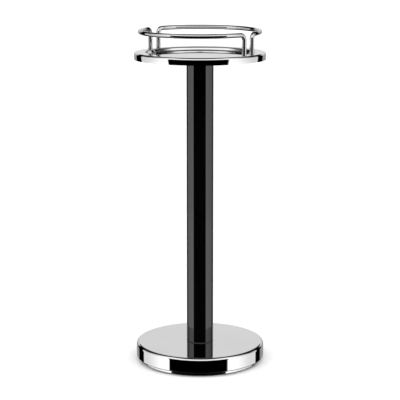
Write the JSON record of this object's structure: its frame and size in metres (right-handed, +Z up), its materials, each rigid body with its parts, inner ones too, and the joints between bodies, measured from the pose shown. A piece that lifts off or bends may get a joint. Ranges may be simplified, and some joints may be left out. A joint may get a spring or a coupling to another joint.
{
  "type": "wine cooler stand",
  "caption": "Round weighted base, slim black column and a polished round tray with a recess and half-ring rails that holds a wine cooler or ice bucket beside a table.",
  "frame": {"origin": "on the floor, at the centre of the round base", "axes": "+Z up along the column; the gaps between the two half-ring rails lie on the X axis, with front_rail on the -Y side and rear_rail on the +Y side"},
  "size_m": [0.232, 0.232, 0.6],
  "materials": {
    "polished_steel": "mirror-polished stainless steel",
    "brushed_steel": "mill-finished pressed steel",
    "cast_iron": "painted grey iron casting",
    "black_column": "smooth black moulded plastic, soft gloss",
    "spigot_nylon": "black nylon",
    "gasket_rubber": "matt black rubber",
    "foot_rubber": "matt black rubber",
    "zinc_steel": "zinc-plated steel"
  },
  "bodies": {
    "root": {"base_shell": "polished_steel", "base_plinth": "polished_steel", "tray_dish": "polished_steel", "front_rail": "polished_steel", "rear_rail": "polished_steel", "tray_underplate": "brushed_steel", "tray_hub": "brushed_steel", "tray_stiffener": "brushed_steel", "ballast_disc": "cast_iron", "foot_pads": "foot_rubber", "lower_gasket": "gasket_rubber", "upper_gasket": "gasket_rubber", "column_tube": "black_column", "lower_spigot": "spigot_nylon", "upper_spigot": "spigot_nylon", "tie_rod": "zinc_steel", "tie_rod_washer": "zinc_steel", "tie_rod_lock_washer": "zinc_steel", "tie_rod_nut": "zinc_steel", "plinth_screws": "zinc_steel", "hub_screws": "zinc_steel", "hub_screw_washers": "zinc_steel", "rail_screws": "zinc_steel", "rail_washers": "zinc_steel"}
  },
  "joints": []
}
